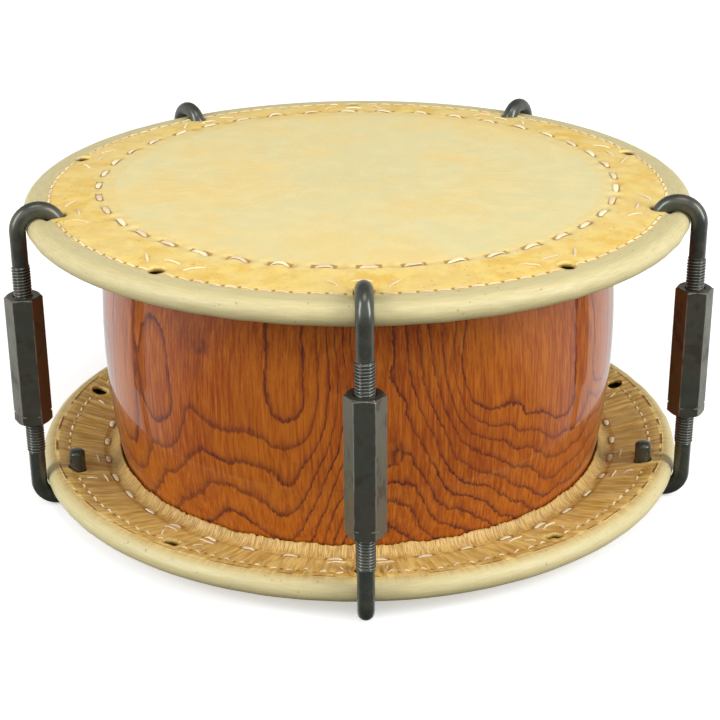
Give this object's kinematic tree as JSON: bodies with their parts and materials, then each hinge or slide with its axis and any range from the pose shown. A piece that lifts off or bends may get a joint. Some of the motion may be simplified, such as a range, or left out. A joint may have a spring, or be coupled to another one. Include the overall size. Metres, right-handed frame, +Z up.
{
  "type": "bolt-tensioned drum",
  "caption": "Short double-headed barrel drum: stitched rawhide heads on iron rings are drawn together over a lacquered shell by hooked turnbuckles.",
  "frame": {"origin": "on the drum's axis, in the plane that the five lower hook bends stand on", "axes": "+Z up the drum's axis towards the upper playing face, -Y through the front turnbuckle"},
  "size_m": [0.361, 0.3631, 0.1687],
  "materials": {
    "lacquered_wood": "clear lacquer over reddish zelkova",
    "rawhide": "pale satin rawhide",
    "ring_iron": "bare iron inside the hide",
    "black_steel": "blackened, semi-gloss",
    "thread": "waxed white thread"
  },
  "bodies": {
    "drum": {"shell": "lacquered_wood", "upper_ring": "ring_iron", "upper_hide": "rawhide", "lower_ring": "ring_iron", "lower_hide": "rawhide", "upper_main_stitches": "thread", "upper_rim_stitches": "thread", "upper_hole_stitches": "thread", "lower_main_stitches": "thread", "lower_rim_stitches": "thread", "lower_hole_stitches": "thread"},
    "nut_1": {"nut_1": "black_steel"},
    "upper_hook_1": {"upper_hook_1": "black_steel"},
    "lower_hook_1": {"lower_hook_1": "black_steel"},
    "nut_2": {"nut_2": "black_steel"},
    "upper_hook_2": {"upper_hook_2": "black_steel"},
    "lower_hook_2": {"lower_hook_2": "black_steel"},
    "nut_3": {"nut_3": "black_steel"},
    "upper_hook_3": {"upper_hook_3": "black_steel"},
    "lower_hook_3": {"lower_hook_3": "black_steel"},
    "nut_4": {"nut_4": "black_steel"},
    "upper_hook_4": {"upper_hook_4": "black_steel"},
    "lower_hook_4": {"lower_hook_4": "black_steel"},
    "nut_5": {"nut_5": "black_steel"},
    "upper_hook_5": {"upper_hook_5": "black_steel"},
    "lower_hook_5": {"lower_hook_5": "black_steel"}
  },
  "joints": [
    {"name": "nut_1_turn", "type": "hinge", "parent": "drum", "child": "nut_1", "pos_m": [0, -0.1795, 0.08435], "axis": [0, 0, 1], "range_deg": [-3240, 0]},
    {"name": "upper_hook_1_slide", "type": "slide", "parent": "drum", "child": "upper_hook_1", "axis": [0, 0, 1], "range_m": [0, 0.01428]},
    {"name": "lower_hook_1_slide", "type": "slide", "parent": "drum", "child": "lower_hook_1", "axis": [0, 0, 1], "range_m": [-0.0143, 0]},
    {"name": "nut_2_turn", "type": "hinge", "parent": "drum", "child": "nut_2", "pos_m": [0.17071, -0.05547, 0.08435], "axis": [0, 0, 1], "range_deg": [-3240, 0]},
    {"name": "upper_hook_2_slide", "type": "slide", "parent": "drum", "child": "upper_hook_2", "axis": [0, 0, 1], "range_m": [0, 0.01428]},
    {"name": "lower_hook_2_slide", "type": "slide", "parent": "drum", "child": "lower_hook_2", "axis": [0, 0, 1], "range_m": [-0.0143, 0]},
    {"name": "nut_3_turn", "type": "hinge", "parent": "drum", "child": "nut_3", "pos_m": [0.10551, 0.14522, 0.08435], "axis": [0, 0, 1], "range_deg": [-3240, 0]},
    {"name": "upper_hook_3_slide", "type": "slide", "parent": "drum", "child": "upper_hook_3", "axis": [0, 0, 1], "range_m": [0, 0.01428]},
    {"name": "lower_hook_3_slide", "type": "slide", "parent": "drum", "child": "lower_hook_3", "axis": [0, 0, 1], "range_m": [-0.0143, 0]},
    {"name": "nut_4_turn", "type": "hinge", "parent": "drum", "child": "nut_4", "pos_m": [-0.10551, 0.14522, 0.08435], "axis": [0, 0, 1], "range_deg": [-3240, 0]},
    {"name": "upper_hook_4_slide", "type": "slide", "parent": "drum", "child": "upper_hook_4", "axis": [0, 0, 1], "range_m": [0, 0.01428]},
    {"name": "lower_hook_4_slide", "type": "slide", "parent": "drum", "child": "lower_hook_4", "axis": [0, 0, 1], "range_m": [-0.0143, 0]},
    {"name": "nut_5_turn", "type": "hinge", "parent": "drum", "child": "nut_5", "pos_m": [-0.17071, -0.05547, 0.08435], "axis": [0, 0, 1], "range_deg": [-3240, 0]},
    {"name": "upper_hook_5_slide", "type": "slide", "parent": "drum", "child": "upper_hook_5", "axis": [0, 0, 1], "range_m": [0, 0.01428]},
    {"name": "lower_hook_5_slide", "type": "slide", "parent": "drum", "child": "lower_hook_5", "axis": [0, 0, 1], "range_m": [-0.0143, 0]}
  ],
  "couplings": [
    {"joint": "nut_1_turn", "follows": "upper_hook_1_slide", "rad_per_m": -3957.9},
    {"joint": "lower_hook_1_slide", "follows": "upper_hook_1_slide", "ratio": -1},
    {"joint": "nut_2_turn", "follows": "upper_hook_2_slide", "rad_per_m": -3957.9},
    {"joint": "lower_hook_2_slide", "follows": "upper_hook_2_slide", "ratio": -1},
    {"joint": "nut_3_turn", "follows": "upper_hook_3_slide", "rad_per_m": -3957.9},
    {"joint": "lower_hook_3_slide", "follows": "upper_hook_3_slide", "ratio": -1},
    {"joint": "nut_4_turn", "follows": "upper_hook_4_slide", "rad_per_m": -3957.9},
    {"joint": "lower_hook_4_slide", "follows": "upper_hook_4_slide", "ratio": -1},
    {"joint": "nut_5_turn", "follows": "upper_hook_5_slide", "rad_per_m": -3957.9},
    {"joint": "lower_hook_5_slide", "follows": "upper_hook_5_slide", "ratio": -1}
  ]
}
